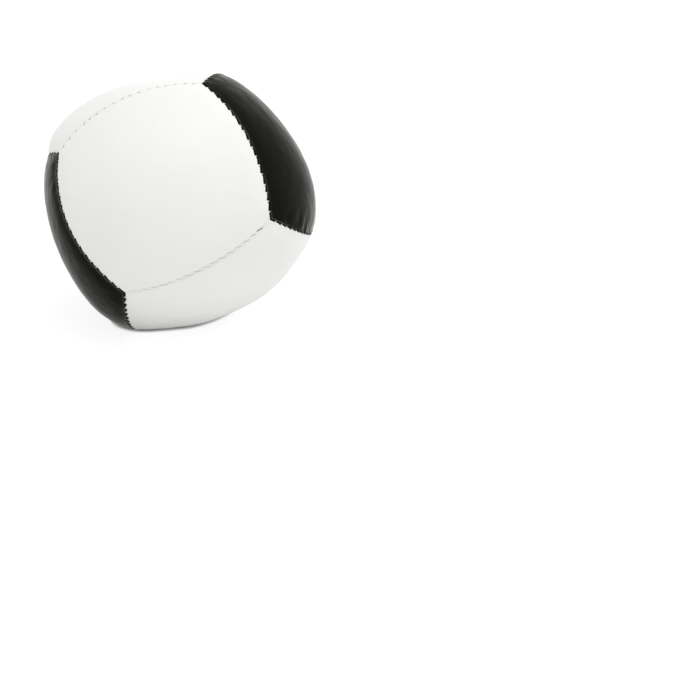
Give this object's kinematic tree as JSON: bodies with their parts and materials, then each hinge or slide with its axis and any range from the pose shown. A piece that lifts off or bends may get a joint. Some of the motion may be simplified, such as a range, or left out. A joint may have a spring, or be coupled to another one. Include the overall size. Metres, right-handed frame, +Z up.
{
  "type": "juggling ball",
  "caption": "Soft sewn juggling ball of black and white leather panels around a loose grain filling, settled on a flat patch, for tossing and rolling juggling.",
  "frame": {"origin": "middle of the flat patch that the ball rests on, straight under its centre", "axes": "+Z up from the table, -Y towards the side that the front panel faces, +X towards the right panel"},
  "size_m": [0.0683, 0.0686, 0.0629],
  "materials": {
    "white_leather": "smooth synthetic leather, faint grain",
    "black_leather": "smooth synthetic leather, satin",
    "white_thread": "twisted polyester thread",
    "millet_grain": "loose dry grain"
  },
  "bodies": {
    "root": {"panel_right": "black_leather", "panel_left": "black_leather", "panel_back": "white_leather", "panel_front": "white_leather", "panel_top": "white_leather", "panel_bottom": "white_leather", "thread_right_back": "white_thread", "thread_right_front": "white_thread", "thread_right_top": "white_thread", "thread_right_bottom": "white_thread", "thread_left_back": "white_thread", "thread_left_front": "white_thread", "thread_left_top": "white_thread", "thread_left_bottom": "white_thread", "thread_back_top": "white_thread", "thread_back_bottom": "white_thread", "thread_front_top": "white_thread", "thread_front_bottom": "white_thread", "grain_fill": "millet_grain"}
  },
  "joints": []
}
